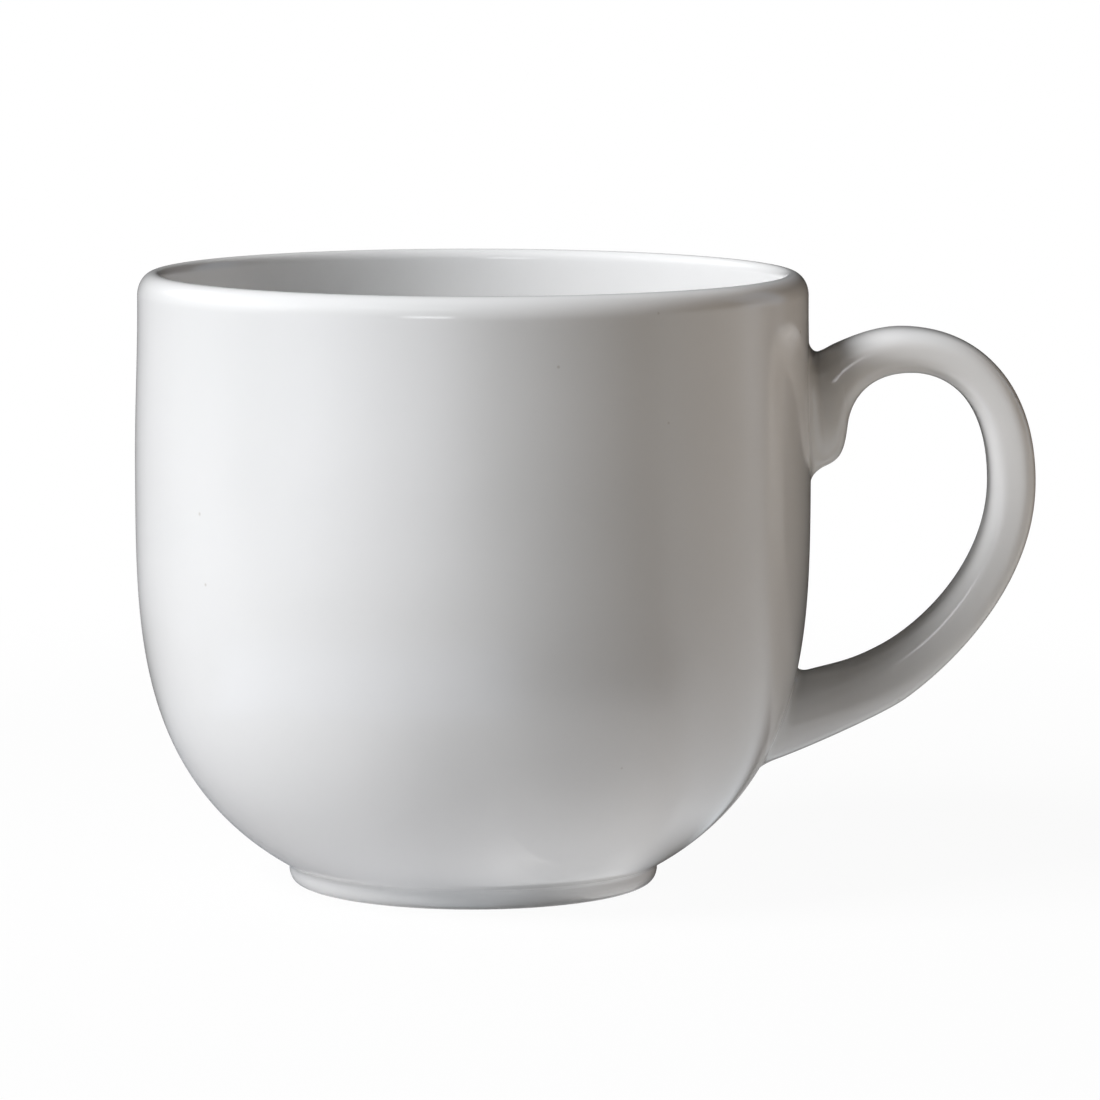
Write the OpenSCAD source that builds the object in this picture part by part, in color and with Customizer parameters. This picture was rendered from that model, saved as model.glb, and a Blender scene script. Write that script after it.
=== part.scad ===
// Round-bellied mug with a loop handle.
// Millimetres, +Z up. The origin is on the cup's axis, in the plane that the mug stands on,
// and the handle points along +X.
// The cup is one turned form. The handle is a second form, cut to the curve of the wall and
// stuck on with slip, so a thin pad and a sponged fillet of slip lie round each of its two roots.

/* [Cup] */
// Outer radius at the widest part of the belly
belly_r = 45; // [42:0.5:50]
// Height of the widest part above the table
belly_z = 55.6; // [50:0.2:60]
// Height of the rim above the table
rim_z = 81.7; // [79:0.1:95]
// How much smaller the radius is just under the lip than at the belly
neck_in = 0.45; // [0:0.05:1.5]
// Thickness of the wall
wall_t = 3.3; // [2.7:0.1:4.4]
// Thickness of the floor at its middle
floor_t = 3.6; // [2.6:0.1:6]

/* [Lip] */
// How far the outer round of the lip reaches in from the wall
lip_in = 2.3; // [1.4:0.1:2.5]
// How far the outer round of the lip reaches down from the rim
lip_drop = 3; // [1.6:0.1:4]
// How far the inner round of the lip reaches down from the rim
lip_inner_drop = 1.5; // [0.8:0.1:3]

/* [Foot] */
// Outer radius of the foot ring
foot_r = 24.7; // [22:0.1:28]
// Height of the foot ring's side, from the table to the bowl
foot_h = 2.5; // [2:0.1:4]
// Width of the foot ring, from its outside to its inside
foot_w = 3.6; // [2.6:0.1:5]
// Depth of the hollow under the floor at the foot ring
recess_h = 1.8; // [1.5:0.1:2.4]
// How much further the hollow rises at the middle
recess_dome = 0.4; // [0:0.1:1]
// Radius of the ring's rounded edges
foot_edge_r = 0.7; // [0.4:0.05:0.85]
// Radius of the groove where the bowl meets the ring
cove_r = 0.45; // [0.2:0.05:1]

/* [Handle loop] */
// How far the grip stands out from the belly
handle_reach = 30.2; // [27:0.1:36]
// How far the handle's crown lies below the rim
crown_drop = 7.1; // [5:0.1:10]
// How far the top of the crown lies out from the belly
crown_out = 12; // [10:0.1:14]
// Thickness of the crown, from its top to the arch below it
crown_depth = 6.55; // [5.4:0.05:8]
// Height at which the grip stands out furthest
grip_z = 53.5; // [49:0.1:56]
// Thickness of the grip, from its outside to the finger hole
grip_depth = 6.7; // [5.6:0.1:8.5]
// How far the heel, under the finger hole, lies out from the belly
heel_out = 13; // [11:0.1:15]
// Height of the underside of the heel
heel_z = 24.2; // [22:0.1:27]
// Thickness of the heel
heel_depth = 8.35; // [7:0.05:10]
// Width of the crown, across the handle
crown_w = 11.4; // [9:0.1:14]
// Width of the grip, across the handle
grip_w = 11; // [9:0.1:14]
// Width of the heel, across the handle
heel_w = 11.4; // [9:0.1:14]

/* [Upper root and tongue] */
// How far the top of the handle falls from the crown to the wall
root_drop = 3.7; // [2:0.1:6]
// Height of the upper root on the wall, down to the tip of the tongue
upper_root_h = 15.7; // [13:0.1:18]
// Width of the upper root at the wall
upper_root_w = 12.6; // [10:0.1:15]
// How far the face of the tongue stands out from the belly
tongue_out = 4.9; // [3.5:0.1:6]
// Height of the face of the tongue above its tip
tongue_rise = 5.8; // [4.5:0.1:7]

/* [Lower root] */
// Height of the underside of the lower root at the wall
lower_root_z = 15.4; // [13:0.1:18]
// Height of the lower root on the wall
lower_root_h = 12.7; // [10:0.1:14]
// Width of the lower root at the wall
lower_root_w = 13; // [10:0.1:16]

/* [Slip joints] */
// Thickness of the slip between the wall and the handle
slip_t = 0.4; // [0.2:0.05:0.8]
// Width on the wall of the fillet round the upper root
upper_fillet = 1.9; // [1:0.1:2.6]
// Width on the wall of the fillet round the lower root
lower_fillet = 0.9; // [0.5:0.1:1.6]

/* [Hidden] */

// Room between the wall and the slip, so that flat facets stay out of the curved wall
seat_gap = 0.03;
seat = seat_gap + slip_t;

// Roundness powers of the bowl outside, and of the hollow and its floor inside
bowl_power = 3.37;
hollow_power = 3.2;
floor_power = 3.57;

// Faces round the cup, and steps along the curves of its profile
turn_faces = 120;
lip_steps = 8;
wall_steps = 8;
bowl_steps = 30;
edge_steps = 5;
dome_steps = 5;

// Derived sizes of the cup
mouth_r = belly_r - neck_in;
crest_r = mouth_r - lip_in;
lip_z = rim_z - lip_drop;
inner_lip_z = rim_z - lip_inner_drop;
hollow_r = belly_r - wall_t;
floor_z = recess_h + recess_dome + floor_t;
hollow_b = belly_z - floor_z;
bowl_b = (belly_z - foot_h) / pow(1 - pow(foot_r / belly_r, 2), 1 / bowl_power);
foot_in_r = foot_r - foot_w;

// Slope of the bowl, up from level, where it reaches the foot ring
foot_share = (belly_z - foot_h) / bowl_b;
foot_rise_share = 2 * bowl_b * foot_r / pow(belly_r, 2);
foot_slope = atan(foot_rise_share / (bowl_power * pow(foot_share, bowl_power - 1)));
cove_reach = cove_r / tan(45 + foot_slope / 2);

// Each edge of the handle's side view is a smooth curve through six knots: the upper root,
// the tongue, the crown, the grip, the heel and the lower root. The outer edge runs over the
// loop and the inner edge round the finger hole.
crown_z = rim_z - crown_drop;
upper_root_z = crown_z - root_drop;
tongue_tip_z = upper_root_z - upper_root_h;
lower_root_top_z = lower_root_z + lower_root_h;

// Place of the outer edge's tongue knot between the wall and the crown, out and up
shoulder_out_share = 0.27;
shoulder_up_share = 0.38;
// How far the top of the arch lies beyond the crown, as a share of the crown's thickness
arch_lag_share = 0.2;
// Direction across the heel, from its underside to the finger hole
heel_lean = 118;

outer_points = [
    wall_point(upper_root_z),
    [belly_r + shoulder_out_share * crown_out, upper_root_z + shoulder_up_share * root_drop],
    [belly_r + crown_out, crown_z],
    [belly_r + handle_reach, grip_z],
    [belly_r + heel_out, heel_z],
    wall_point(lower_root_z)
];
inner_points = [
    wall_point(tongue_tip_z),
    [belly_r + tongue_out, tongue_tip_z + tongue_rise],
    [belly_r + crown_out + arch_lag_share * crown_depth, crown_z - crown_depth],
    [belly_r + handle_reach - grip_depth, grip_z],
    [belly_r + heel_out, heel_z] + heel_depth * course(heel_lean),
    wall_point(lower_root_top_z)
];
// Course of each edge at its knots, in degrees up from level
outer_courses = [22, 24, 0, -90, -144, -161];
inner_courses = [13, 84, 0, -90, -153, -165];
// Pull of each edge before and after its knots, as shares of the distance to the next knot
outer_pull_shares = [[0, 0.42], [0.4, 0.36], [0.31, 0.385], [0.485, 0.4], [0.235, 0.2], [0.2, 0]];
inner_pull_shares = [[0, 0.49], [0.52, 0.365], [0.48, 0.285], [0.59, 0.4], [0.26, 0.4], [0.46, 0]];

// Width, roundness power and narrowing on the finger side of the oval section at each knot
section_widths = [upper_root_w, (upper_root_w + crown_w) / 2, crown_w, grip_w, heel_w, lower_root_w];
section_powers = [2.2, 2.2, 2.35, 2.35, 2.3, 2.2];
taper_shares = [0.34, 0.26, 0.04, 0, 0, 0.06];

// Steps round the handle, along each stretch between knots, and over an end face
handle_sides = 36;
stretch_steps = [10, 10, 18, 16, 14];
cap_shares = [0.3, 0.55, 0.8];
// Rings of the handle that each fillet covers, steps over a fillet, and its pull to the corner
upper_fillet_rings = 2;
lower_fillet_rings = 1;
fillet_steps = 5;
fillet_pull_share = 0.6;
// Powers that let the section follow the wall's curve at each root and fade out from it
upper_hug_power = 2;
lower_hug_power = 4;

// Eases from 0 to 1 with a level start and a level end
function ease(s) = (1 - cos(180 * s)) / 2;

// Step of one unit along a course
function course(a) = [cos(a), sin(a)];

// Outer radius of the cup at height z
function wall_r(z) =
    z > belly_z
    ? belly_r - neck_in * ease(min(1, (z - belly_z) / (lip_z - belly_z)))
    : belly_r * sqrt(1 - pow((belly_z - z) / bowl_b, bowl_power));

// Point off the wall by a given room, at sideways place y and height z
function skin(y, z, room) = [sqrt(pow(wall_r(z) + room, 2) - pow(y, 2)), y, z];

// Knot where an edge of the handle ends at the slip
function wall_point(z) = [wall_r(z) + seat, z];

// Points of an oval arc about a centre, from one angle to another
function oval(centre, rx, rz, from, to, steps) = [
    for (i = [0:steps])
        let (a = from + (to - from) * i / steps)
        centre + [rx * cos(a), rz * sin(a)]
];

// Outside of the wall or, with a thickness, its inside, between two heights
function wall_side(from_z, to_z, thickness) = [
    for (i = [1:wall_steps])
        let (z = from_z + (to_z - from_z) * i / wall_steps)
        [wall_r(z) - thickness, z]
];

// Outside of the bowl, from the belly down to a given radius
function bowl_side(stop_r) = [
    for (i = [1:bowl_steps])
        let (a = acos(stop_r / belly_r) * i / bowl_steps)
        [belly_r * cos(a), belly_z - bowl_b * pow(sin(a), 2 / bowl_power)]
];

// Underside of the floor, from the foot ring's inner wall to the axis
function under_side() =
    let (ceiling_r = foot_in_r - foot_edge_r)
    concat(
        oval([ceiling_r, recess_h - foot_edge_r], foot_edge_r, foot_edge_r, 0, 90, edge_steps),
        [
            for (i = [1:dome_steps])
                [ceiling_r * (1 - i / dome_steps), recess_h + recess_dome * ease(i / dome_steps)]
        ]
    );

// Inside of the floor and the bowl, from the axis up to the belly
function hollow_side() = [
    for (i = [0:bowl_steps])
        let (a = 90 * (1 - i / bowl_steps))
        [
            hollow_r * pow(cos(a), 2 / floor_power),
            belly_z - hollow_b * pow(sin(a), 2 / hollow_power)
        ]
];

// Profile of the cup, from the crest of the lip down the outside and up the inside
function cup_profile() = concat(
    oval([crest_r, lip_z], lip_in, lip_drop, 90, 0, lip_steps),
    wall_side(lip_z, belly_z, 0),
    bowl_side(foot_r + cove_reach * cos(foot_slope)),
    oval([foot_r + cove_r, foot_h - cove_reach], cove_r, cove_r, 90 + foot_slope, 180, edge_steps),
    oval([foot_r - foot_edge_r, foot_edge_r], foot_edge_r, foot_edge_r, 0, -90, edge_steps),
    oval([foot_in_r + foot_edge_r, foot_edge_r], foot_edge_r, foot_edge_r, -90, -180, edge_steps),
    under_side(),
    hollow_side(),
    wall_side(belly_z, inner_lip_z, wall_t),
    oval([crest_r, inner_lip_z], wall_t - lip_in, lip_inner_drop, 180, 90, lip_steps)
);

// Point of a cubic curve at share t of its run
function bezier(a, b, c, d, t) =
    pow(1 - t, 3) * a + 3 * t * pow(1 - t, 2) * b + 3 * t * t * (1 - t) * c + pow(t, 3) * d;

// Point of an edge at share t between knot k and the next
function edge_point(points, courses, pull_shares, k, t) =
    let (
        from = points[k],
        to = points[k + 1],
        span = norm(to - from),
        leave = from + span * pull_shares[k][1] * course(courses[k]),
        arrive = to - span * pull_shares[k + 1][0] * course(courses[k + 1])
    )
    bezier(from, leave, arrive, to, t);

// Value at share t between knot k and the next, on a smooth curve through all the knots' values
function between(v, k, t) =
    let (
        a = v[max(0, k - 1)],
        b = v[k],
        c = v[k + 1],
        d = v[min(len(v) - 1, k + 2)]
    )
    b + t / 2 * (c - a + t * (2 * a - 5 * b + 4 * c - d + t * (3 * (b - c) + d - a)));

// Rounds a sine or cosine towards a squarer oval
function squared(s, power) = sign(s) * pow(abs(s), 2 / power);

// Straight line across a root, between the ends of the two edges at knot k: its x at height z
function chord_x(k, z) =
    let (a = inner_points[k], b = outer_points[k])
    a[0] + (b[0] - a[0]) * (z - a[1]) / (b[1] - a[1]);

// Ring of points round the handle at share t between knot k and the next
function section(k, t) =
    let (
        inner = edge_point(inner_points, inner_courses, inner_pull_shares, k, t),
        outer = edge_point(outer_points, outer_courses, outer_pull_shares, k, t),
        half_w = between(section_widths, k, t) / 2,
        power = between(section_powers, k, t),
        taper = between(taper_shares, k, t),
        last = len(stretch_steps) - 1,
        root = k == 0 ? 0 : last + 1,
        hug = k == 0 ? pow(1 - t, upper_hug_power) : k == last ? pow(t, lower_hug_power) : 0
    )
    [
        for (j = [0:handle_sides - 1])
            let (
                a = 360 * j / handle_sides,
                along = squared(cos(a), power),
                y = half_w * squared(sin(a), power) * (1 - taper * (1 - along) / 2),
                p = (inner + outer) / 2 + along * (outer - inner) / 2,
                curve_x = skin(y, p[1], seat)[0] - chord_x(root, p[1])
            )
            [p[0] + hug * curve_x, y, p[1]]
    ];

handle_rings = [
    for (k = [0:len(stretch_steps) - 1])
        for (i = [k == 0 ? 0 : 1:stretch_steps[k]])
            section(k, i / stretch_steps[k])
];

// Height of a root's middle
function middle_z(ring) = (ring[0][2] + ring[handle_sides / 2][2]) / 2;

// Middle point of an end face, laid off the wall
function face_middle(ring, room) = skin(0, middle_z(ring), room);

// Ring of an end face, shrunk by a share towards the face's middle and laid off the wall
function shrunk(ring, share, room) =
    let (mid_z = middle_z(ring))
    [for (p = ring) skin(share * p[1], mid_z + share * (p[2] - mid_z), room)];

// Rings of an end face from its middle outwards
function end_face(ring, room) = [for (share = cap_shares) shrunk(ring, share, room)];

// Ring on the wall that lies a given width outside a root, where its fillet ends
function fillet_foot(root, width) = [
    for (j = [0:handle_sides - 1])
        let (
            before = root[(j + handle_sides - 1) % handle_sides],
            after = root[(j + 1) % handle_sides],
            run = [after[1] - before[1], after[2] - before[2]],
            side = [run[1], -run[0]] / norm(run),
            outward = side * [root[j][1], root[j][2] - middle_z(root)] < 0 ? -side : side
        )
        skin(root[j][1] + width * outward[0], root[j][2] + width * outward[1], seat_gap)
];

// Rings of a concave fillet, from its foot on the wall to the ring where it meets the handle
function fillet(foot, root, below, top) = [
    for (i = [1:fillet_steps - 1])
        [
            for (j = [0:handle_sides - 1])
                let (
                    corner = skin(root[j][1], root[j][2], seat_gap),
                    back = (below[j] - top[j]) / norm(below[j] - top[j]),
                    reach = norm(root[j] - top[j]) * fillet_pull_share
                )
                bezier(
                    foot[j],
                    foot[j] + fillet_pull_share * (corner - foot[j]),
                    top[j] + reach * back,
                    top[j],
                    i / fillet_steps
                )
        ]
];

// The same rings in the opposite order
function backwards(rings) = [for (i = [len(rings) - 1:-1:0]) rings[i]];

// The same ring run round the other way
function mirrored_ring(ring) = [
    for (j = [0:handle_sides - 1]) ring[(handle_sides - j) % handle_sides]
];

// Rings of one slip joint: its face on the wall, its fillet, its face along the handle and its
// face on the handle's end. The roots are rings of the handle, counted out from the wall.
function slip_rings(roots, width) =
    let (
        foot = fillet_foot(roots[0], width),
        top = len(roots) - 1
    )
    concat(
        end_face(foot, seat_gap),
        [foot],
        fillet(foot, roots[0], roots[top - 1], roots[top]),
        backwards(roots),
        backwards(end_face(roots[0], seat))
    );

// Closed solid through a stack of rings, with a point at each end. Where two solids share
// rings, their faces are split along the same diagonals.
module ring_solid(rings, first, last, shared) {
    n = handle_sides;
    top = len(rings) * n + 1;
    points = concat([first], [for (ring = rings) each ring], [last]);
    faces = concat(
        [for (j = [0:n - 1]) [0, 1 + (j + 1) % n, 1 + j]],
        [
            for (i = [0:len(rings) - 2], j = [0:n - 1])
                let (
                    a = 1 + i * n + j,
                    b = 1 + i * n + (j + 1) % n
                )
                each shared ? [[a, b, a + n], [b, b + n, a + n]] : [[a, b + n, a + n], [a, b, b + n]]
        ],
        [for (j = [0:n - 1]) [top, top - n + j, top - n + (j + 1) % n]]
    );
    polyhedron(points, faces);
}

module cup_body() {
    color("white")
        rotate_extrude($fn = turn_faces)
            polygon(cup_profile());
}

module handle() {
    first = handle_rings[0];
    last = handle_rings[len(handle_rings) - 1];
    color("whitesmoke")
        ring_solid(
            concat(end_face(first, seat), handle_rings, backwards(end_face(last, seat))),
            face_middle(first, seat),
            face_middle(last, seat),
            false
        );
}

module slip_joint(roots, width) {
    color("gainsboro")
        ring_solid(
            slip_rings(roots, width),
            face_middle(roots[0], seat_gap),
            face_middle(roots[0], seat),
            true
        );
}

module upper_slip_joint() {
    slip_joint([for (i = [0:upper_fillet_rings]) handle_rings[i]], upper_fillet);
}

module lower_slip_joint() {
    last = len(handle_rings) - 1;
    slip_joint([for (i = [0:lower_fillet_rings]) mirrored_ring(handle_rings[last - i])], lower_fillet);
}

cup_body();
handle();
upper_slip_joint();
lower_slip_joint();
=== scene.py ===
# %% [markdown]
# # A glazed porcelain mug, dressed round its CAD frame
# A plain white mug is four pieces of clay under one coat of glaze: the cup, the handle, and the
# two joints of slip that stick the handle on. The CAD model gives their true sizes. This lesson
# builds a fine surface over each of them, gives them glaze, and lights them as in a studio.
# The frame comes first, because everything else is measured against it.

import math

import bpy
import numpy as np
from mathutils import Matrix, Vector


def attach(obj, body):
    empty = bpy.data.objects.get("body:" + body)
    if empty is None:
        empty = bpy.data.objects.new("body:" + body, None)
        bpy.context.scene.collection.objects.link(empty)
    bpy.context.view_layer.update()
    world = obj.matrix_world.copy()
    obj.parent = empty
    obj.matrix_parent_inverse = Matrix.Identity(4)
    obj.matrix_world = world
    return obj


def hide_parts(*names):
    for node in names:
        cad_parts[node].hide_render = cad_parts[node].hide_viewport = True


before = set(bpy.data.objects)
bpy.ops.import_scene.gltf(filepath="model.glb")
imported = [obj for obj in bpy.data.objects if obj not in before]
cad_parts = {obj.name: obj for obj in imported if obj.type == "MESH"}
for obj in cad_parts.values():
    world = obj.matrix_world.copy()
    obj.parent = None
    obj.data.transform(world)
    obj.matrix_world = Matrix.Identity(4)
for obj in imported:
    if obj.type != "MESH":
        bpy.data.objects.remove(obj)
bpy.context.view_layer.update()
print("Nodes:", sorted(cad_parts))

# %% [markdown]
# ## Sizes
# A potter's drawing of a mug needs few numbers. These are the ones that the CAD source uses, in
# millimetres, with the origin on the table under the cup's axis and the handle along +X. Using
# the same numbers here, and not new ones, keeps each surface on its solid. Only three places are
# softer than in the CAD, by less than half a millimetre, because the picture shows them so: the
# outer edge of the foot, the cove over it, and the fillet under the handle's lower root.

# %% Sizes of the cup
MM = 0.001

belly_r, belly_z, rim_z, neck_in = 45, 55.6, 81.7, 0.45
wall_t, floor_t = 3.3, 3.6
lip_in, lip_drop, lip_inner_drop = 2.3, 3, 1.5
foot_r, foot_h, foot_w, foot_edge_r, cove_r = 24.7, 2.5, 3.6, 0.7, 0.7
worn_in, worn_up = 1.2, 1.8  # how far the worn edge reaches under the foot and up its side
recess_h, recess_dome = 1.8, 0.4
bowl_power, hollow_power, floor_power = 3.37, 3.2, 3.57

crest_r = belly_r - neck_in - lip_in
lip_z = rim_z - lip_drop
inner_lip_z = rim_z - lip_inner_drop
floor_z = recess_h + recess_dome + floor_t
foot_in_r = foot_r - foot_w
bowl_b = (belly_z - foot_h) / (1 - (foot_r / belly_r) ** 2) ** (1 / bowl_power)
print(f"Cup {2 * belly_r} mm across, {rim_z} mm high, inside depth {rim_z - floor_z:.1f} mm")

# %% Sizes of the handle
handle_reach, crown_drop, crown_out, crown_depth = 30.2, 7.1, 12, 6.55
grip_z, grip_depth = 53.5, 6.7
heel_out, heel_z, heel_depth, heel_lean = 13, 24.2, 8.35, 118
crown_w, grip_w, heel_w = 11.4, 11, 11.4
root_drop, upper_root_h, upper_root_w = 3.7, 15.7, 12.6
tongue_out, tongue_rise = 4.9, 5.8
lower_root_z, lower_root_h, lower_root_w = 15.4, 12.7, 13
seat = 0.43  # thickness of the slip between the handle's cut face and the wall
upper_fillet_w, lower_fillet_w = 1.9, 1.1

crown_z = rim_z - crown_drop
upper_root_z = crown_z - root_drop
tongue_tip_z = upper_root_z - upper_root_h
lower_root_top_z = lower_root_z + lower_root_h
print(f"Handle from {lower_root_z} to {crown_z:.1f} mm, {handle_reach} mm out from the belly")

# %% [markdown]
# ## The cup as one turned profile
# A jiggered cup is a profile turned about its axis, so its surface has two parameters: how far
# along the profile, and how far round. The profile could be traced by hand, but a few formulas
# hold the same curve at any fineness: quarter ovals for the lip, a power curve for the bowl and
# another for the hollow. It starts where the axis meets the inside floor and ends where the axis
# meets the underside, so the whole glazed skin is one strip with a closed pole at each end.

# %% The wall and the arcs
steps = {"hollow": 96, "wall": 24, "inner_lip": 16, "lip": 24, "bowl": 90, "cove": 8,
         "worn_edge": 16, "edge": 10, "under": 24}


def ease(s):
    """Goes from 0 to 1 with a level start and end: half of 1 less the cosine of s half turns."""
    return (1 - np.cos(np.pi * s)) / 2


def wall_r(z):
    """Outer radius at height z. Above the belly it eases in by neck_in. Below it, the squared
    share of the belly's radius and the bowl_power of the share of the bowl's depth add up to 1."""
    up = np.clip((z - belly_z) / (lip_z - belly_z), 0, 1)
    down = np.clip((belly_z - z) / bowl_b, 0, 1)
    return np.where(z > belly_z, belly_r - neck_in * ease(up), belly_r * np.sqrt(1 - down**bowl_power))


def oval(centre, rx, rz, start, stop, part):
    """Arc of an oval: the centre plus rx times the cosine and rz times the sine of the angle."""
    a = np.radians(np.linspace(start, stop, steps[part] + 1))
    return np.stack([centre[0] + rx * np.cos(a), centre[1] + rz * np.sin(a)], axis=1)


def wall_line(from_z, to_z, inset):
    """The wall between two heights, moved in by an inset. The first height is left out."""
    z = np.linspace(from_z, to_z, steps["wall"] + 1)[1:]
    return np.stack([wall_r(z) - inset, z], axis=1)


print("Wall radius at the lip:", float(wall_r(np.array(lip_z))))


# %% The bowl, the foot and the hollow


def bowl_line(stop_r):
    """Outside of the bowl: radius as the cosine, depth as a power of the sine of one angle."""
    a = np.linspace(0, math.acos(stop_r / belly_r), steps["bowl"] + 1)[1:]
    return np.stack([belly_r * np.cos(a), belly_z - bowl_b * np.sin(a) ** (2 / bowl_power)], axis=1)


def hollow_line():
    """Inside, from the floor's middle to the belly: cosine and sine of one angle, each to a power."""
    a = np.linspace(np.pi / 2, 0, steps["hollow"] + 1)
    radius = (belly_r - wall_t) * np.clip(np.cos(a), 0, 1) ** (2 / floor_power)
    height = belly_z - (belly_z - floor_z) * np.sin(a) ** (2 / hollow_power)
    return np.stack([radius, height], axis=1)


def foot_line():
    """Cove, foot ring and underside. The cove's arc touches both the bowl and the ring's side."""
    depth = (belly_z - foot_h) / bowl_b
    rise = 2 * bowl_b * foot_r / belly_r**2
    slope = math.degrees(math.atan(rise / (bowl_power * depth ** (bowl_power - 1))))
    reach = cove_r / math.tan(math.radians(45 + slope / 2))
    ceiling_r = foot_in_r - foot_edge_r
    share = np.linspace(0, 1, steps["under"] + 1)[1:]
    under = np.stack([ceiling_r * (1 - share), recess_h + recess_dome * ease(share)], axis=1)
    line = np.concatenate([
        oval([foot_r + cove_r, foot_h - reach], cove_r, cove_r, 90 + slope, 180, "cove"),
        oval([foot_r - worn_in, worn_up], worn_in, worn_up, 0, -90, "worn_edge"),
        oval([foot_in_r + foot_edge_r, foot_edge_r], foot_edge_r, foot_edge_r, -90, -180, "edge"),
        oval([ceiling_r, recess_h - foot_edge_r], foot_edge_r, foot_edge_r, 0, 90, "edge"),
        under,
    ])
    return line, foot_r + reach * math.cos(math.radians(slope))


foot, cove_start_r = foot_line()
cup_profile = np.concatenate([
    hollow_line(),
    wall_line(belly_z, inner_lip_z, wall_t),
    oval([crest_r, inner_lip_z], wall_t - lip_in, lip_inner_drop, 180, 90, "inner_lip")[1:],
    oval([crest_r, lip_z], lip_in, lip_drop, 90, 0, "lip")[1:],
    wall_line(lip_z, belly_z, 0),
    bowl_line(cove_start_r),
    foot,
])
print("Profile points:", len(cup_profile), "radius up to", round(float(cup_profile[:, 0].max()), 2))

# %% [markdown]
# ## From rings to a closed mesh
# Every piece here is a stack of rings with a point at each end, like a sock closed at both ends.
# Quads join neighbouring rings and triangles close the ends. If the enclosed volume comes out
# negative, the faces look inwards and are turned. Rings where a hidden face begins are marked
# sharp, so that its slant doesn't darken the face that shows.

# %% One mesh from a stack of rings


def ring_faces(count, around):
    """Corners of the quads between rings and of the end triangles. Point 0 and the last point
    are the ends, and point j of ring i is number 1 + i times the points around + j."""
    j = np.arange(around)
    after = (j + 1) % around
    i = 1 + around * np.arange(count - 1)[:, None]
    quads = np.stack([i + j, i + after, i + around + after, i + around + j], axis=-1).reshape(-1, 4)
    last = count * around + 1
    base = last - around
    ends = np.concatenate([
        np.stack([np.zeros(around, int), 1 + after, 1 + j], axis=1),
        np.stack([np.full(around, last), base + j, base + after], axis=1),
    ])
    return quads, ends


def enclosed(points, quads, ends):
    """Volume inside the faces: a sixth of the sum of each triangle's triple product."""
    tris = np.concatenate([quads[:, :3], quads[:, [0, 2, 3]], ends])
    a, b, c = (points[tris[:, k]] for k in range(3))
    return float(np.einsum("ij,ij->i", a, np.cross(b, c)).sum() / 6)


def ring_piece(name, rings, first, last, sharp_rings=()):
    """Object through rings of shape (count, around, 3) in millimetres, closed by two end points."""
    count, around = rings.shape[:2]
    points = np.concatenate([[first], rings.reshape(-1, 3), [last]]).astype(float)
    quads, ends = ring_faces(count, around)
    if enclosed(points, quads, ends) < 0:
        quads, ends = quads[:, ::-1], ends[:, ::-1]
    mesh = bpy.data.meshes.new(name)
    mesh.from_pydata((points * MM).tolist(), [], quads.tolist() + ends.tolist())
    mesh.shade_smooth()
    if sharp_rings:
        corners = np.zeros(len(mesh.edges) * 2, np.int32)
        mesh.edges.foreach_get("vertices", corners)
        ring_of = (corners.reshape(-1, 2) - 1) // around
        on_ring = (ring_of[:, 0] == ring_of[:, 1]) & np.isin(ring_of[:, 0], sharp_rings)
        mesh.attributes.new("sharp_edge", "BOOLEAN", "EDGE").data.foreach_set("value", on_ring)
    piece = bpy.data.objects.new(name, mesh)
    bpy.context.scene.collection.objects.link(piece)
    volume = abs(enclosed(points, quads, ends)) / 1000
    print(f"{name}: {len(quads) * 2 + len(ends)} triangles, {volume:.2f} cm3")
    return piece


# %% Turn the cup
CUP_AROUND = 256


def turned(profile, around):
    """Rings of a turned form: radius times the cosine and the sine of the turn, and the height."""
    turn = 2 * np.pi * np.arange(around) / around
    r, z = profile[:, :1], profile[:, 1:]
    return np.stack([r * np.cos(turn), r * np.sin(turn), z + 0 * turn], axis=-1)


cup = ring_piece(
    "porcelain_cup",
    turned(cup_profile[1:-1], CUP_AROUND),
    [0, 0, cup_profile[0, 1]],
    [0, 0, cup_profile[-1, 1]],
)

# %% [markdown]
# ## The handle as a loft
# A pressed handle has two outlines in the side view, the outer one over the loop and the inner
# one round the finger hole. Each runs through six knots: upper root, tongue, crown, grip, heel
# and lower root. A cubic curve joins each pair of knots. An oval section then spans the two
# outlines at every step, and its width and roundness change smoothly on the way. A plain tube
# along one path can't do this, because the tongue makes the section deep at the upper root.
# Round the loop the sections are squarer than in the CAD, and the upper root leaves the wall a
# little flatter. A squarer section looks deeper from above, so its two outlines are drawn in
# towards each other by a fraction of a millimetre, here called slim.

# %% Knots of the two outlines


def course(degrees):
    """Step of one unit in the side view, at an angle up from level."""
    return np.array([math.cos(math.radians(degrees)), math.sin(math.radians(degrees))])


def root_knot(z):
    """Point of the handle's cut face at height z."""
    return np.array([float(wall_r(np.array(z))) + seat, z])


shoulder_out_share, shoulder_rise_share, crown_lean_share = 0.27, 0.38, 0.2
outer_knots = [
    root_knot(upper_root_z),
    [belly_r + shoulder_out_share * crown_out, upper_root_z + shoulder_rise_share * root_drop],
    [belly_r + crown_out, crown_z],
    [belly_r + handle_reach, grip_z],
    [belly_r + heel_out, heel_z],
    root_knot(lower_root_z),
]
inner_knots = [
    root_knot(tongue_tip_z),
    [belly_r + tongue_out, tongue_tip_z + tongue_rise],
    [belly_r + crown_out + crown_lean_share * crown_depth, crown_z - crown_depth],
    [belly_r + handle_reach - grip_depth, grip_z],
    np.array([belly_r + heel_out, heel_z]) + heel_depth * course(heel_lean),
    root_knot(lower_root_top_z),
]
outer_courses = [12, 24, 0, -90, -144, -161]
inner_courses = [13, 84, 0, -90, -153, -165]
outer_pulls = [[0, 0.5], [0.4, 0.36], [0.31, 0.385], [0.485, 0.4], [0.235, 0.2], [0.2, 0]]
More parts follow.
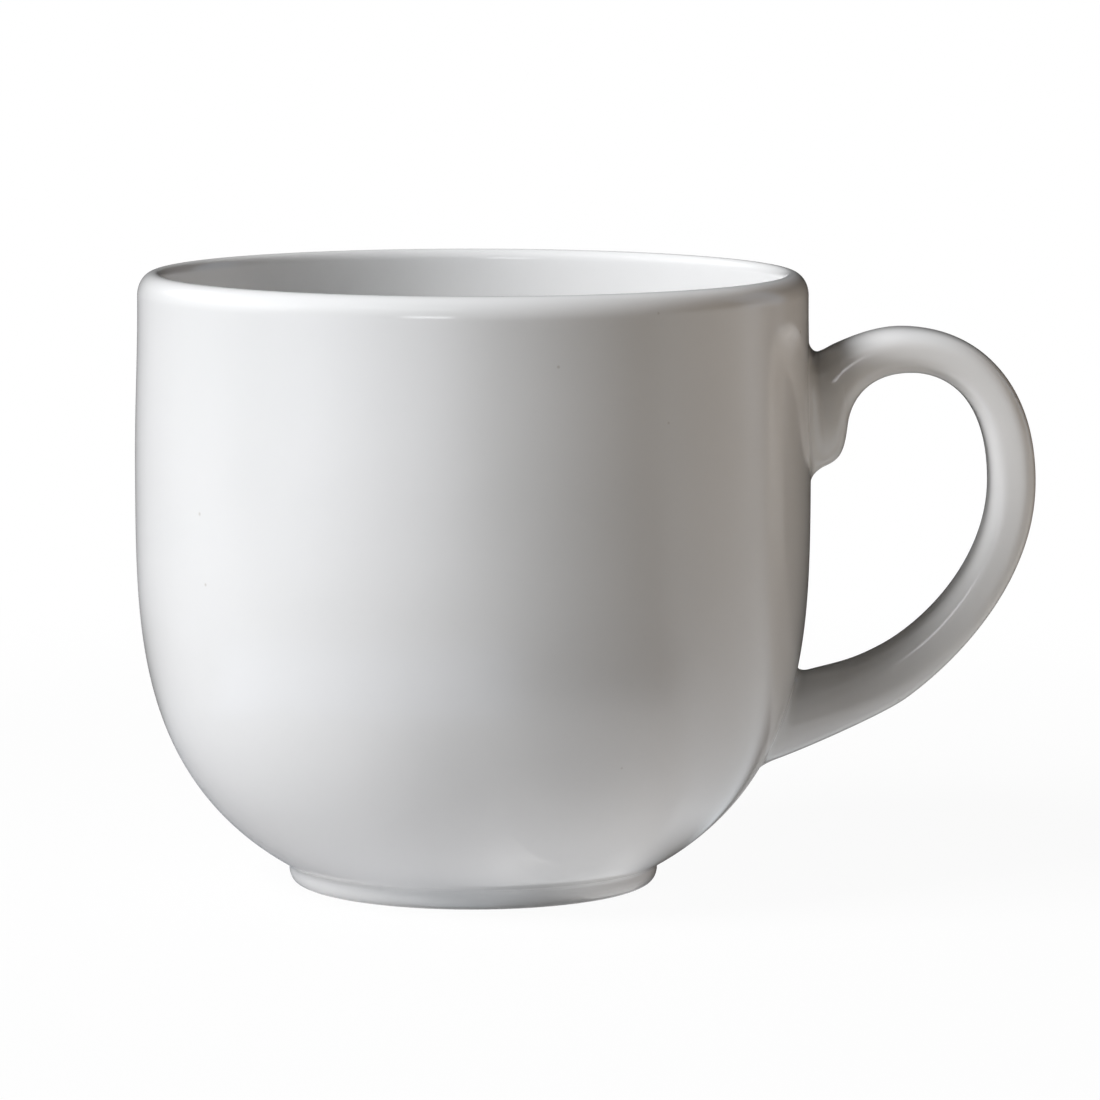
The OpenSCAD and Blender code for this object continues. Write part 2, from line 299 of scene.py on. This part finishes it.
inner_pulls = [[0, 0.49], [0.52, 0.365], [0.48, 0.285], [0.59, 0.4], [0.26, 0.4], [0.46, 0]]

# at each knot: width, squareness, narrowing towards the finger hole, and slimming of the outlines
widths = [upper_root_w, (upper_root_w + crown_w) / 2, crown_w, grip_w, heel_w, lower_root_w]
powers = [2.2, 2.3, 2.9, 3.6, 3.1, 2.2]
tapers = [0.34, 0.26, 0.04, 0, 0, 0.06]
slims = [0.08, 0.18, 0.25, 0.27, 0.43, 0.3]
print("Knots on each outline:", len(outer_knots))

# %% [markdown]
# ## Curves for the outlines
# Each stretch of an outline is a cubic curve that leaves one knot and reaches the next along a
# given course. How far it holds that course is its pull. Splines fitted through many points
# would follow a photograph's noise, and these few numbers can be changed by hand. Widths and
# roundness get a simpler smooth curve. Near the roots all points are moved onto the cup's wall.

# %% Curves through the knots


def bezier(a, b, c, d, t):
    """Cubic curve: the four points weighted by the terms of (1 - t + t) cubed."""
    return (1 - t) ** 3 * a + 3 * t * (1 - t) ** 2 * b + 3 * t**2 * (1 - t) * c + t**3 * d


def outline(knots, courses, pulls, k, t):
    """Stretch k of an outline. It leaves and reaches its knots along their courses."""
    start, stop = np.asarray(knots[k], float), np.asarray(knots[k + 1], float)
    span = np.linalg.norm(stop - start)
    leave = start + span * pulls[k][1] * course(courses[k])
    arrive = stop - span * pulls[k + 1][0] * course(courses[k + 1])
    return bezier(start, leave, arrive, stop, t[:, None])


def between(values, k, t):
    """Smooth value on stretch k: a cubic through two knots with slopes from their neighbours."""
    a, b, c, d = (values[min(max(k + n, 0), len(values) - 1)] for n in (-1, 0, 1, 2))
    return b + t / 2 * (c - a + t * (2 * a - 5 * b + 4 * c - d + t * (3 * (b - c) + d - a)))


def skin(y, z, room):
    """Point that stands off the wall by a given room, at sideways place y and height z."""
    return np.stack([np.sqrt((wall_r(z) + room) ** 2 - y**2), y + 0 * z, z + 0 * y], axis=-1)


crown = outline(outer_knots, outer_courses, outer_pulls, 1, np.ones(1))[0]
print("Crown at", crown.round(2).tolist())


# %% Sections of the loft
SIDES = 96


def squared(wave, power):
    """Flattens a sine or cosine towards a squarer oval, by raising its size to 2 / power."""
    return np.sign(wave) * np.abs(wave) ** (2 / power)


def sections(k, t):
    """Rings on stretch k at shares t. Each point lies between the outlines, drawn in by slim, by
    a squared cosine, and out to the side by a squared sine. Near a root the ring takes on the
    curve of the wall."""
    inner = outline(inner_knots, inner_courses, inner_pulls, k, t)[:, None]
    outer = outline(outer_knots, outer_courses, outer_pulls, k, t)[:, None]
    width, power, taper, slim = (between(v, k, t)[:, None] for v in (widths, powers, tapers, slims))
    turn = 2 * np.pi * np.arange(SIDES) / SIDES
    along = squared(np.cos(turn), power)
    y = width / 2 * squared(np.sin(turn), power) * (1 - taper * (1 - along) / 2)
    half = (outer - inner) / 2
    half = half * (1 - slim[..., None] / np.linalg.norm(half, axis=-1, keepdims=True))
    point = (inner + outer) / 2 + along[..., None] * half
    x, z = point[..., 0], point[..., 1]
    if k in (0, 4):
        low, high = (outer_knots[5], inner_knots[5]) if k else (inner_knots[0], outer_knots[0])
        chord_x = low[0] + (high[0] - low[0]) * (z - low[1]) / (high[1] - low[1])
        hug = t[:, None] ** 4 if k else (1 - t[:, None]) ** 2
        x = x + hug * (skin(y, z, seat)[..., 0] - chord_x)
    return np.stack([x, y, z], axis=-1)


stretch_steps = [40, 36, 64, 56, 56]
handle_rings = np.concatenate([
    sections(k, np.linspace(0, 1, count + 1)[1 if k else 0 :]) for k, count in enumerate(stretch_steps)
])
print("Rings along the handle:", len(handle_rings))

# %% [markdown]
# ## The handle's cut faces
# Before it is stuck on, each end of a handle is cut to the curve of the wall. The slip hides these
# faces, so they could be left open, but a piece that is printed or weighed has to be closed. A
# flat lid would poke into the curved wall. Rings that all stand off the wall by the same room
# make a face that follows it.

# %% Close the handle's cut faces
FACE_STEPS = 8


def middle_z(ring):
    """Height of a root's middle, between its lowest and its highest point in the side view."""
    return (ring[0, 2] + ring[SIDES // 2, 2]) / 2


def face_rings(ring, room):
    """Rings of an end face, from near its middle outwards, laid off the wall by a given room."""
    share = np.linspace(0, 1, FACE_STEPS + 1)[1:-1, None]
    mid = middle_z(ring)
    return skin(share * ring[:, 1], mid + share * (ring[:, 2] - mid), room)


def face_middle(ring, room):
    """Middle point of an end face."""
    return skin(np.array(0.0), np.array(middle_z(ring)), room)


first_ring, last_ring = handle_rings[0], handle_rings[-1]
handle = ring_piece(
    "porcelain_handle",
    np.concatenate([face_rings(first_ring, seat), handle_rings, face_rings(last_ring, seat)[::-1]]),
    face_middle(first_ring, seat),
    face_middle(last_ring, seat),
    (FACE_STEPS - 1, FACE_STEPS - 2 + len(handle_rings)),
)

# %% [markdown]
# ## The slip joints
# Slip is liquid clay. It sticks the handle's cut faces to the wall, and what squeezes out is
# sponged into a small hollow fillet. A Bevel modifier could round that corner only if wall and
# handle were one mesh. Here the fillet is its own surface: at each place round the root a cubic
# curve leaves the wall flat, swings round the corner and lands flat on the handle.

# %% Fillets of slip
TUCK = 0.02  # how far hidden faces lie inside their neighbours
HOLD = 0.6  # how far a fillet's curve holds its first and last course
upper_landing, lower_landing = 9, 7  # rings of the handle under each fillet


def unit(vectors):
    """The same directions with a length of 1."""
    return vectors / np.linalg.norm(vectors, axis=-1, keepdims=True)


def fillet_foot(root, width, room):
    """Ring on the wall, a given width outside a root, square to the root's outline."""
    flat = root[:, 1:]
    run = np.roll(flat, -1, axis=0) - np.roll(flat, 1, axis=0)
    side = unit(np.stack([run[:, 1], -run[:, 0]], axis=1))
    from_middle = flat - [0, middle_z(root)]
    side *= np.sign((side * from_middle).sum(axis=1, keepdims=True))
    out = flat + width * side
    return skin(out[:, 0], out[:, 1], room)


def fillet(foot_ring, root, below, top, count):
    """Rings from the wall to the handle. Each curve starts along the wall towards the corner and
    ends along the handle's own surface."""
    corner = skin(root[:, 1], root[:, 2], 0)
    reach = HOLD * np.linalg.norm(root - top, axis=1, keepdims=True)
    t = np.linspace(0, 1, count + 1)[:, None, None]
    leave, arrive = foot_ring + HOLD * (corner - foot_ring), top + reach * unit(below - top)
    return bezier(foot_ring, leave, arrive, top, t)


def tucked(rings):
    """The same rings drawn in a little towards their middles, to lie under the handle's skin."""
    return rings + TUCK * unit(rings.mean(axis=1, keepdims=True) - rings)


print("Fillets of", upper_fillet_w, "and", lower_fillet_w, "mm on the wall")

# %% [markdown]
# ## Joints without a seam
# On the real mug the glaze runs over wall, slip and handle without a line. Three meshes that only
# touch would show one, because each smooths its own faces. So the first and last ring of a fillet
# are given the directions of their neighbours: that of the wall, and that of the handle's skin.

# %% Joints of slip


def wall_normals(points):
    """Directions square to the wall: outwards, and down by the slope of its radius over height."""
    step = 0.01
    slope = (wall_r(points[:, 2] + step) - wall_r(points[:, 2] - step)) / (2 * step)
    radius = np.hypot(points[:, 0], points[:, 1])
    return unit(np.stack([points[:, 0] / radius, points[:, 1] / radius, -slope], axis=1))


def ring_normals(rings, k):
    """Directions square to ring k of a stack: the way round it crossed with the way along."""
    around = np.roll(rings[k], -1, axis=0) - np.roll(rings[k], 1, axis=0)
    normal = np.cross(around, rings[k + 1] - rings[k - 1])
    out = rings[k] - rings[k].mean(axis=0)
    return unit(normal * np.sign((normal * out).sum(axis=1, keepdims=True)))


def slip_joint(name, stack, landing, width, count=20):
    """Joint of slip under the first rings of the handle, counted out from the wall up to the
    ring where the fillet lands. Its own curve has count steps."""
    roots = stack[:landing]
    foot_ring = fillet_foot(roots[0], width, 0)
    curve = fillet(foot_ring, roots[0], roots[-2], roots[-1], count)
    back, front = face_rings(foot_ring, -TUCK), face_rings(roots[0], seat - TUCK)[::-1]
    rings = np.concatenate([back, curve, tucked(roots[::-1]), front])
    ends = face_middle(roots[0], -TUCK), face_middle(roots[0], seat - TUCK)
    edges = len(back), len(back) + count
    made = ring_piece(name, rings, *ends, edges)
    normals = np.zeros((len(made.data.vertices), 3))
    for ring, directions in zip(edges, (wall_normals(foot_ring), ring_normals(stack, landing - 1))):
        normals[1 + ring * SIDES : 1 + (ring + 1) * SIDES] = directions
    made.data.normals_split_custom_set_from_vertices(normals.tolist())
    return made


upper_slip = slip_joint("upper_slip", handle_rings, upper_landing, upper_fillet_w)
lower_slip = slip_joint("lower_slip", handle_rings[::-1], lower_landing, lower_fillet_w)

# %% [markdown]
# ## Glaze
# A white glaze is a clear glass over white clay: almost all the colour is diffuse, and one sharp
# reflection of about 4% lies on top, stronger at grazing angles. A shader with a fixed colour
# would look like plastic, because fired glaze is never even: its tone drifts in soft clouds, its
# skin ripples, its gloss changes a little, and a few specks of iron show through. An image of
# such marks would repeat and blur. Noise on the object's own coordinates does neither.
# The class below lets shader maths be written as Python expressions.

# %% Shader maths in Python


class Socket:
    """A shader value. Adding, subtracting or multiplying it adds a Math node."""

    def __init__(self, tree, socket):
        self.tree, self.socket = tree, socket

    def math(self, operation, *values):
        """Math node of this operation, on the given values in their order."""
        return self.tree.node("ShaderNodeMath", {"operation": operation}, *values)

    def beside(self, output):
        """Another output of the node that this value comes from."""
        return Socket(self.tree, self.socket.node.outputs[output])

    def __add__(self, other):
        return self.math("ADD", self, other)

    def __sub__(self, other):
        return self.math("SUBTRACT", self, other)

    def __rsub__(self, other):
        return self.math("SUBTRACT", other, self)

    def __mul__(self, other):
        return self.math("MULTIPLY", self, other)

    __radd__, __rmul__ = __add__, __mul__

    def ramp(self, low, high):
        """0 at low, 1 at high, and a smooth step between."""
        settings = {"interpolation_type": "SMOOTHSTEP"}
        return self.tree.node("ShaderNodeMapRange", settings, self, low, high, 0.0, 1.0)


class Finish:
    """A material or a world, the holder, that is built by its node method."""

    def __init__(self, holder):
        self.holder = holder
        holder.use_nodes = True
        holder.node_tree.nodes.clear()

    def node(self, kind, settings=None, *values, output=0, **named):
        """Adds a node: its type, its settings, then its sockets' values or links by place or name."""
        made = self.holder.node_tree.nodes.new(kind)
        for key, value in (settings or {}).items():
            setattr(made, key, value)
        inputs = dict(enumerate(values)) | {key.replace("_", " "): value for key, value in named.items()}
        for key, value in inputs.items():
            if isinstance(value, Socket):
                self.holder.node_tree.links.new(value.socket, made.inputs[key])
            else:
                made.inputs[key].default_value = value
        return Socket(self, made.outputs[output]) if made.outputs else None

    def place(self):
        """Place on the object, in metres."""
        return self.node("ShaderNodeTexCoord", output="Object")

    def noise(self, place, size, detail=2.0):
        """Cloudy noise from 0 to 1, with clouds of the given size in millimetres."""
        return self.node("ShaderNodeTexNoise", None, Vector=place, Scale=1 / (size * MM), Detail=detail)

    def mix(self, share, a, b):
        """Colour a turning into colour b by share."""
        made = self.node("ShaderNodeMix", {"data_type": "RGBA"}, share, output=2)
        sockets = made.socket.node.inputs
        for socket, value in ((sockets[6], a), (sockets[7], b)):
            if isinstance(value, Socket):
                self.holder.node_tree.links.new(value.socket, socket)
            else:
                socket.default_value = (*value, 1)
        return made


print("Works with the number first:", [name for name in vars(Socket) if name.startswith("__r")])

# %% The glaze
CLOUD, SPECK_GAP, WAVE, RIPPLE, GLOSS = 38, 6.5, 16, 5, 9  # sizes of the patterns in millimetres
CLEAR_WHITE, SOFT_WHITE, IRON = (0.862, 0.862, 0.858), (0.84, 0.842, 0.838), (0.42, 0.37, 0.31)
GLAZE_IOR = 1.5


def speckle(finish, place):
    """1 on specks of iron: near the middle of some of the cells, picked by their random colour."""
    from_middle = finish.node("ShaderNodeTexVoronoi", None, Vector=place,
                              Scale=1 / (SPECK_GAP * MM), Randomness=1.0)
    pick = finish.node("ShaderNodeSeparateXYZ", None, from_middle.beside("Color"))
    return (1 - from_middle.ramp(0.022, 0.05)) * pick.ramp(0.45, 0.6)


def glaze(name):
    """White glaze over porcelain: clouds of tone, specks, a rippled skin and uneven gloss."""
    finish = Finish(bpy.data.materials.new(name))
    place = finish.place()
    speck = speckle(finish, place)
    cloud = finish.noise(place, CLOUD, 3.0)
    color = finish.mix(cloud.ramp(0.3, 0.7), CLEAR_WHITE, SOFT_WHITE)
    color = finish.mix(speck * 0.35, color, IRON)
    waves = finish.noise(place, WAVE, 1.0) * 0.8 + finish.noise(place, RIPPLE, 1.0) * 0.12
    bump = finish.node("ShaderNodeBump", None, Strength=0.5, Distance=0.1 * MM, Height=waves - speck * 0.3)
    rough = 0.075 + 0.05 * finish.noise(place, GLOSS)
    shader = finish.node("ShaderNodeBsdfPrincipled", None, Base_Color=color, Roughness=rough,
                         IOR=GLAZE_IOR, Normal=bump)
    finish.node("ShaderNodeOutputMaterial", None, shader)
    return finish.holder


white_glaze = glaze("white_glaze")
glazed_slip = glaze("glazed_slip")
print("Finishes:", white_glaze.name, glazed_slip.name)

# %% [markdown]
# ## Pieces on their nodes
# Each surface stands for one CAD node, which keeps its place in the physics model, and the node
# itself is hidden. The slip has a material of its own, so that someone can show the joints, but it is
# fired under the same glaze. Nothing on a mug moves, so all four ride on the root.

# %% Dress the nodes
dressed = [
    (cup, "cup_body", "white_glaze", white_glaze),
    (handle, "handle", "white_glaze", white_glaze),
    (upper_slip, "upper_slip_joint", "glazed_slip", glazed_slip),
    (lower_slip, "lower_slip_joint", "glazed_slip", glazed_slip),
]
for piece, node, slot, material in dressed:
    piece.data.materials.append(material)
    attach(piece, "root")
    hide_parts(node)
print("Dressed:", [piece.name for piece, *_ in dressed])

# %% [markdown]
# ## The floor
# The mug stands on a sheet of white paper, wider to the left than to the right, on a dark table.
# Paper throws light back up under the bowl, and the table hardly any, so the sheet's size shapes
# the soft light on the lower half. Two floors with a seam could do this, but one floor whose
# colour changes leaves no edge to see. To the camera and to reflections the whole floor is white,
# and only a trace of its own shading is left, so that the mug keeps a faint shadow.

# %% Floor
FLOOR_R, FLOOR_Z, FLOOR_CORNERS = 9, -0.02 * MM, 96
PAPER, SHADE_GREY = (0.624, 0.61, 0.605), (0.85, 0.85, 0.85)
SHEET_LEFT, SHEET_RIGHT = (-0.18, -0.16), (0.045, 0.075)  # metres over which each edge fades
SHEET_NEAR, SHEET_FAR = (-0.11, -0.09), (0.09, 0.11)
SHADOW_SHARE, SHADOW_ENDS = 0.05, (0.12, 0.3)


def disc(name, radius, z):
    """Flat disc as one face, its corners at even turns."""
    turn = 2 * np.pi * np.arange(FLOOR_CORNERS) / FLOOR_CORNERS
    corners = np.stack([radius * np.cos(turn), radius * np.sin(turn), 0 * turn + z], axis=1)
    mesh = bpy.data.meshes.new(name)
    mesh.from_pydata(corners.tolist(), [], [list(range(FLOOR_CORNERS))])
    made = bpy.data.objects.new(name, mesh)
    bpy.context.scene.collection.objects.link(made)
    return made


def white_to_eyes(finish):
    """Two masks: 1 for rays from the camera, and 1 for those and for rays that come by way of a
    reflection or through glass."""
    ray = finish.node("ShaderNodeLightPath", output="Is Camera Ray")
    seen = ray
    for kind in ("Is Glossy Ray", "Is Transmission Ray"):
        seen = seen.math("MAXIMUM", seen, ray.beside(kind))
    return ray, seen


floor = disc("floor", FLOOR_R, FLOOR_Z)
paper = Finish(bpy.data.materials.new("pale_paper"))
camera_ray, seen = white_to_eyes(paper)
place = paper.place()
across = paper.node("ShaderNodeSeparateXYZ", None, place, output="X")
along = across.beside("Y")
away = paper.node("ShaderNodeVectorMath", {"operation": "LENGTH"}, place, output="Value")
sheet = (across.ramp(*SHEET_LEFT) * (1 - across.ramp(*SHEET_RIGHT))
         * along.ramp(*SHEET_NEAR) * (1 - along.ramp(*SHEET_FAR)))
pale = paper.mix(sheet, (0, 0, 0), PAPER)
pale = paper.mix(camera_ray, pale, SHADE_GREY)
matte = paper.node("ShaderNodeBsdfDiffuse", None, pale)
white = paper.node("ShaderNodeEmission", None, (1, 1, 1, 1), 1.0)
whiteness = seen * (1 - SHADOW_SHARE + SHADOW_SHARE * away.ramp(*SHADOW_ENDS))
paper.node("ShaderNodeOutputMaterial", None,
           paper.node("ShaderNodeMixShader", None, whiteness, matte, white))
floor.data.materials.append(paper.holder)
print(floor.name, "with", paper.holder.name, "and", len(paper.holder.node_tree.nodes), "nodes")

# %% [markdown]
# ## The world
# Behind the floor the world is white as well, so that the picture has no horizon. It gives the
# mug no light: a white sky would light it from all sides and take away its shape.

# %% World
world = bpy.data.worlds.new("studio")
bpy.context.scene.world = world
sky = Finish(world)
_, seen = white_to_eyes(sky)
sky.node("ShaderNodeOutputWorld", None,
         sky.node("ShaderNodeMixShader", None, seen,
                  sky.node("ShaderNodeBackground", None, (0, 0, 0, 1), 0.0),
                  sky.node("ShaderNodeBackground", None, (1, 1, 1, 1), 1.0)))
print("World:", world.name)

# %% [markdown]
# ## What the glaze mirrors
# A glossy pot is a picture of its room. In a white void the reflections would be a bright rim on
# both sides, which a real set never shows, because the room behind the camera is dark. So a ring
# of screens stands round the mug: only reflections see it, and it casts no light or shadow. Its
# brightness is a sum of a few soft patches, each between two azimuths and two elevations as seen
# from the mug's middle, and is stored at the corners of its mesh.

# %% Screens for the reflections
EYE_Z = 45  # height of the mug's middle
ROOM_R, ROOM_NEAR, ROOM_LOW = 1300, 22, 0.3  # the room's wall, and its floor ring's inner edge
SCREEN_STEPS, SCREEN_AROUND = 20, 240


def eased_band(value, low, high, soft):
    """1 between low and high, and an eased fall to 0 over the softness on both sides."""
    inside = np.minimum(value - low, high - value)
    return ease(np.clip(1 + inside / soft, 0, 1))


def screens(patches):
    """Floor ring, wall and ceiling turned round the mug, lit by the given patches."""
    reach_r = [ROOM_NEAR, 60, 180, 600, ROOM_R, ROOM_R, ROOM_R, 0.1]
    reach_z = [*[ROOM_LOW] * 5, 400, ROOM_R, ROOM_R + 1]
    share = np.linspace(0, len(reach_r) - 1, SCREEN_STEPS * (len(reach_r) - 1) + 1)
    line = np.stack([np.interp(share, range(len(reach_r)), way) for way in (reach_r, reach_z)], axis=1)
    rings = turned(line, SCREEN_AROUND)
    azimuth = np.degrees(np.arctan2(rings[..., 0], -rings[..., 1]))
    elevation = np.degrees(np.arctan2(rings[..., 2] - EYE_Z, np.hypot(rings[..., 0], rings[..., 1])))
    glow = np.zeros((*azimuth.shape, 4))
    glow[..., 3] = 1
    for a_low, a_high, a_soft, e_low, e_high, e_soft, tint in patches:
        middle = (a_low + a_high) / 2
        turn = (azimuth - middle + 180) % 360 - 180
        patch = eased_band(turn, a_low - middle, a_high - middle, a_soft)
        patch = patch * eased_band(elevation, e_low, e_high, e_soft)
        glow[..., :3] += patch[..., None] * np.array(tint)
    quads = ring_faces(*azimuth.shape)[0] - 1
    mesh = bpy.data.meshes.new("screens")
    mesh.from_pydata((rings.reshape(-1, 3) * MM).tolist(), [], quads.tolist())
    mesh.color_attributes.new("glow", "FLOAT_COLOR", "POINT").data.foreach_set("color", glow.ravel())
    made = bpy.data.objects.new("screens", mesh)
    bpy.context.scene.collection.objects.link(made)
    made.visible_camera = made.visible_diffuse = made.visible_transmission = made.visible_shadow = False
    return made


room = screens([
    # azimuths, softness, elevations, softness, brightness
    (-142, 65, 26, -90, -28, 12.7, (0.27, 0.285, 0.31)),
    (-75, 3, 18, -24, -18, 6, (0.52, 0.59, 0.74)),
    (-53, -18, 30, -1.5, -1.5, 10.5, (1.35, 1.35, 1.44)),
    (72, 104, 17, -47, 3, 10, (0.85, 0.905, 0.96)),
    (110, 125, 12, 7, 23, 14, (0.52, 0.64, 0.79)),
    (12, 49, 26, -65, -30, 10.5, (0.85, 0.85, 0.84)),
    (122, 155, 20, 39, 60, 10, (0.35, 0.35, 0.34)),
    (-157, -141, 20, -8, -2, 5, (0.185, 0.18, 0.19)),
    (-135, -66, 4, 18, 36, 4, (0.9, 0.9, 0.9)),
    (-45, -6, 3, 38, 48, 4, (0.6, 0.6, 0.6)),
    (-21, -8.5, 3, 9, 14, 3, (5, 5, 5.2)),
    (130, 172, 12, -90, -17, 4, (0.33, 0.33, 0.33)),
])
shine = Finish(bpy.data.materials.new("screen_glow"))
shine.node("ShaderNodeOutputMaterial", None,
           shine.node("ShaderNodeEmission", None,
                      shine.node("ShaderNodeAttribute", {"attribute_name": "glow"}, output="Color"), 1.0))
room.data.materials.append(shine.holder)
print("Screens:", len(room.data.polygons), "faces")

# %% [markdown]
# ## Lamps
# One large softbox stands to the left, in front of the mug and above it. Two weak ones at the
# mug's own height open the left side, a warm one keeps the handle's side from going black, and
# one behind keeps the back white. Point lamps would be simpler, but they draw hard shadows that a
# softbox doesn't. All lamps give the diffuse light only. Their reflections are on the screens,
# where their edges can be set without changing the light.

# %% Lamps


def area_lamp(name, width, height, power, color):
    """Rectangular lamp that the camera and the reflections don't see."""
    light = bpy.data.lights.new(name, "AREA")
    light.shape, light.size, light.size_y = "RECTANGLE", width, height
    light.energy, light.color = power, color
    lamp = bpy.data.objects.new(name, light)
    lamp.visible_camera = lamp.visible_glossy = False
    bpy.context.scene.collection.objects.link(lamp)
    return lamp


def softbox(name, azimuth, elevation, distance, width, height, power, color=(1, 1, 1)):
    """Lamp that looks at the mug's middle from an azimuth (0 is the camera's side, 90 the
    handle's) and an elevation in degrees."""
    a, e = math.radians(azimuth), math.radians(elevation)
    away = np.array([math.sin(a) * math.cos(e), -math.cos(a) * math.cos(e), math.sin(e)])
    lamp = area_lamp(name, width, height, power, color)
    lamp.location = np.array([0, 0, EYE_Z * MM]) + distance * away
    lamp.rotation_mode = "QUATERNION"
    lamp.rotation_quaternion = Vector(away.tolist()).to_track_quat("Z", "Y")


# azimuth, elevation, distance, width, height, power, colour
softbox("key", -61, 43, 2, 0.95, 0.95, 45.9, (0.997, 1, 1.015))
softbox("left", -45, 8, 0.9, 0.32, 0.32, 1.16, (0.94, 1, 1.05))
softbox("left_back", -90, 8, 0.9, 0.32, 0.32, 0.57)
softbox("right", 108, 10, 0.9, 0.5, 0.4, 1.1, (1.15, 1, 0.9))
softbox("back", 180, 0, 0.9, 0.6, 0.15, 2.2)
softboxes = [lamp.name for lamp in bpy.data.objects if lamp.type == "LIGHT"]
print("Softboxes:", softboxes)

# %% [markdown]
# ## Cards on the table
# White cards on the table throw light up under the bowl and the handle. A real card would need
# a lamp of its own to be lit by, and much of that light would miss the mug, so each card here is
# a lamp itself, which lies face up.

# %% Cards on the table


def table_light(name, azimuth, reach, width, depth, radiance, color=(1, 1, 1)):
    """Lamp that lies on the table and shines upwards, like a sheet of card in bright light. Its
    power is pi times its area times its brightness."""
    a = math.radians(azimuth)
    lamp = area_lamp(name, width, depth, math.pi * width * depth * radiance, color)
    lamp.location = reach * math.sin(a), -reach * math.cos(a), 0.5 * MM
    lamp.rotation_euler = math.pi, 0, a


# azimuth, distance from the axis, width, depth, brightness, colour
table_light("card_front", -5, 0.037, 0.05, 0.026, 0.1, (0.9, 1, 1.1))
table_light("card_foot", 50, 0.037, 0.05, 0.026, 0.33)
table_light("card_near", 62, 0.13, 0.14, 0.10, 0.51, (1.02, 1, 0.98))
table_light("card_side", 95, 0.077, 0.05, 0.04, 0.48)
table_light("card_far", 60, 0.25, 0.28, 0.14, 1.7, (1.19, 1, 0.79))
cards = [lamp.name for lamp in bpy.data.objects if lamp.type == "LIGHT" and lamp.name not in softboxes]
print("Cards:", cards)

# %% [markdown]
# ## The camera
# The photograph was taken from a little above the rim with a long lens. The place and the lens
# were found by fitting the outlines of the cup, as a turned form, to its edges in the picture. A
# camera that is aimed by eye comes close, but then every other difference is hard to judge.

# %% Camera
yaw, pitch, roll = 0.01344, 0.12221, 0.00141
camera_x, camera_y, camera_z = -0.189, -777.196, 139.867
focal_px, picture_px, sensor = 5860.8, 1100, 36
forward = np.array([math.sin(yaw) * math.cos(pitch), math.cos(yaw) * math.cos(pitch), -math.sin(pitch)])
level = np.array([math.cos(yaw), -math.sin(yaw), 0])
upward = np.cross(level, forward)
right = math.cos(roll) * level + math.sin(roll) * upward
up = math.cos(roll) * upward - math.sin(roll) * level

lens = bpy.data.cameras.new("camera")
lens.sensor_fit, lens.sensor_width = "HORIZONTAL", sensor
lens.lens = sensor * focal_px / picture_px
camera = bpy.data.objects.new("camera", lens)
camera.matrix_world = Matrix([
    [right[0], up[0], -forward[0], camera_x * MM],
    [right[1], up[1], -forward[1], camera_y * MM],
    [right[2], up[2], -forward[2], camera_z * MM],
    [0, 0, 0, 1],
])
lens.clip_start, lens.clip_end = 0.05, 30
bpy.context.scene.collection.objects.link(camera)
bpy.context.scene.camera = camera
bpy.context.scene.view_settings.view_transform = "Standard"
print(f"Camera {camera.matrix_world.translation.length:.3f} m away, lens {lens.lens:.0f} mm")

# %% [markdown]
# ## Sizes side by side
# The dressed mug should fill the same box as the CAD model.
